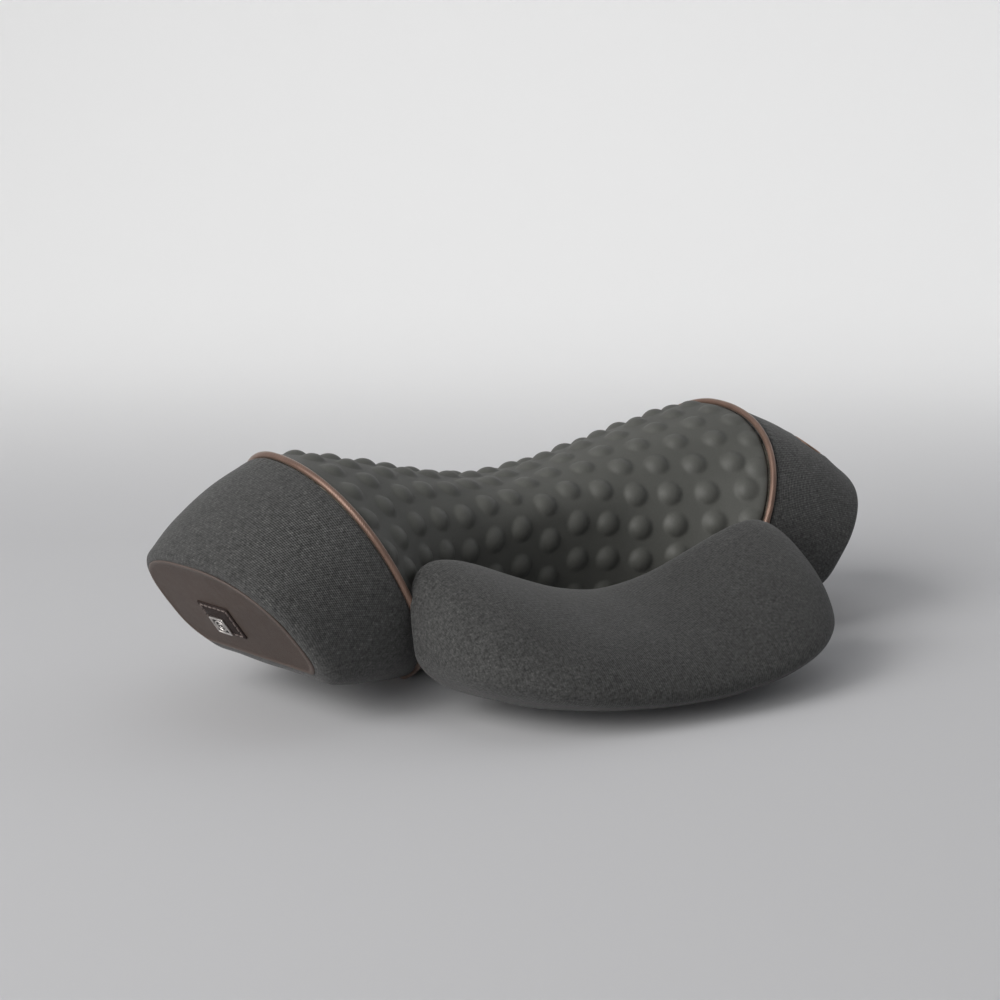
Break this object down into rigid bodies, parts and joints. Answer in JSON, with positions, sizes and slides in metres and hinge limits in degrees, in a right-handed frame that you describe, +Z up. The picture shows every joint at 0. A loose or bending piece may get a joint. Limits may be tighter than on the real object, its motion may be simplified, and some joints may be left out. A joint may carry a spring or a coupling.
{
  "type": "shiatsu neck massager",
  "caption": "Saddle-shaped neck massage bolster with a dimpled skin over motor-driven kneading heads, knit end caps, and a loose crescent neck pillow in front.",
  "frame": {"origin": "on the table plane under the middle of the bolster, on the front anti-slip strip", "axes": "+X along the bolster to the end cap with the power button, -Y to the front, where the crescent pillow lies, +Z up"},
  "size_m": [0.4084, 0.2366, 0.1183],
  "materials": {
    "skin_tpe": "matte soft-touch silicone, dark grey-green",
    "knit_charcoal": "heathered charcoal knit with a fine diagonal rib",
    "knit_pillow": "heathered charcoal knit",
    "piping_copper": "satin copper-coloured cord",
    "panel_leather": "smooth taupe-brown leather",
    "patch_leather": "darker brown stitched leather",
    "badge_metal": "bright satin metal",
    "foam": "open-cell foam",
    "heating_foil": "amber film",
    "housing_plastic": "moulded black, fine texture",
    "gearbox_plastic": "natural moulded nylon",
    "screw_steel": "zinc plated",
    "motor_steel": "drawn steel can",
    "black_plastic": "black moulded",
    "magnet_ferrite": "sintered ferrite",
    "bush_bronze": "sintered bronze",
    "battery_wrap": "shrink-wrapped cells",
    "board_green": "green solder mask",
    "copper_trim": "polished copper colour",
    "cable_jacket": "soft cable jacket",
    "grip_rubber": "anti-slip rubber",
    "zip_tape": "woven zip tape with moulded teeth",
    "shaft_steel": "ground steel",
    "gear_acetal": "natural acetal",
    "arm_plastic": "glass-filled nylon",
    "node_silicone": "soft silicone cap",
    "armature_copper": "laminations with copper winding"
  },
  "bodies": {
    "main": {"massage_skin": "skin_tpe", "sleeve_left": "knit_charcoal", "sleeve_right": "knit_charcoal", "piping_left": "piping_copper", "piping_right": "piping_copper", "end_panel_left": "panel_leather", "end_panel_right": "panel_leather", "panel_patch": "patch_leather", "panel_badge": "badge_metal", "foam_wrap": "foam", "foam_left": "foam", "foam_right": "foam", "heating_film": "heating_foil", "lower_housing": "housing_plastic", "upper_housing": "housing_plastic", "housing_screws": "screw_steel", "gearbox_frame": "gearbox_plastic", "gearbox_cover": "gearbox_plastic", "gearbox_screws": "screw_steel", "motor_can": "motor_steel", "motor_endcaps": "black_plastic", "motor_magnets": "magnet_ferrite", "shaft_bushes": "bush_bronze", "lower_bushes": "bush_bronze", "upper_bushes": "bush_bronze", "battery_box": "housing_plastic", "battery_lid": "housing_plastic", "battery_cells": "battery_wrap", "control_board": "board_green", "board_parts": "black_plastic", "charge_port": "black_plastic", "button_bezel": "copper_trim", "switch_housing": "black_plastic", "button_cable": "cable_jacket", "motor_cable": "cable_jacket", "grip_strips": "grip_rubber", "zipper_tape": "zip_tape"},
    "left_head": {"output_shaft_left": "shaft_steel", "worm_wheel_left": "gear_acetal", "kneading_arm_left": "arm_plastic", "massage_nodes_left": "node_silicone"},
    "right_head": {"output_shaft_right": "shaft_steel", "worm_wheel_right": "gear_acetal", "kneading_arm_right": "arm_plastic", "massage_nodes_right": "node_silicone"},
    "rotor": {"motor_shaft": "shaft_steel", "motor_armature": "armature_copper", "worm_left": "bush_bronze", "worm_right": "bush_bronze"},
    "button": {"power_button": "black_plastic"},
    "zip": {"zipper_slider": "copper_trim"},
    "pillow": {"pillow_cover": "knit_pillow", "pillow_core": "foam"}
  },
  "joints": [
    {"name": "left_head_spin", "type": "hinge", "parent": "main", "child": "left_head", "pos_m": [-0.046, 0.014, 0.06], "axis": [0, 0, 1], "continuous": true},
    {"name": "right_head_spin", "type": "hinge", "parent": "main", "child": "right_head", "pos_m": [0.046, 0.014, 0.06], "axis": [0, 0, 1], "continuous": true},
    {"name": "motor_spin", "type": "hinge", "parent": "main", "child": "rotor", "pos_m": [0, 0.031, 0.037], "axis": [1, 0, 0], "continuous": true},
    {"name": "button_press", "type": "slide", "parent": "main", "child": "button", "axis": [-0.5071, 0.2608, -0.8215], "range_m": [0, 0.0012]},
    {"name": "zip_slide", "type": "slide", "parent": "main", "child": "zip", "axis": [1, 0, 0], "range_m": [0, 0.128]},
    {"name": "pillow_lift_off", "type": "slide", "parent": "main", "child": "pillow", "axis": [0, -1, 0], "range_m": [0, 0.12]}
  ],
  "couplings": [
    {"joint": "right_head_spin", "follows": "left_head_spin", "ratio": -1},
    {"joint": "motor_spin", "follows": "left_head_spin", "ratio": -32}
  ]
}
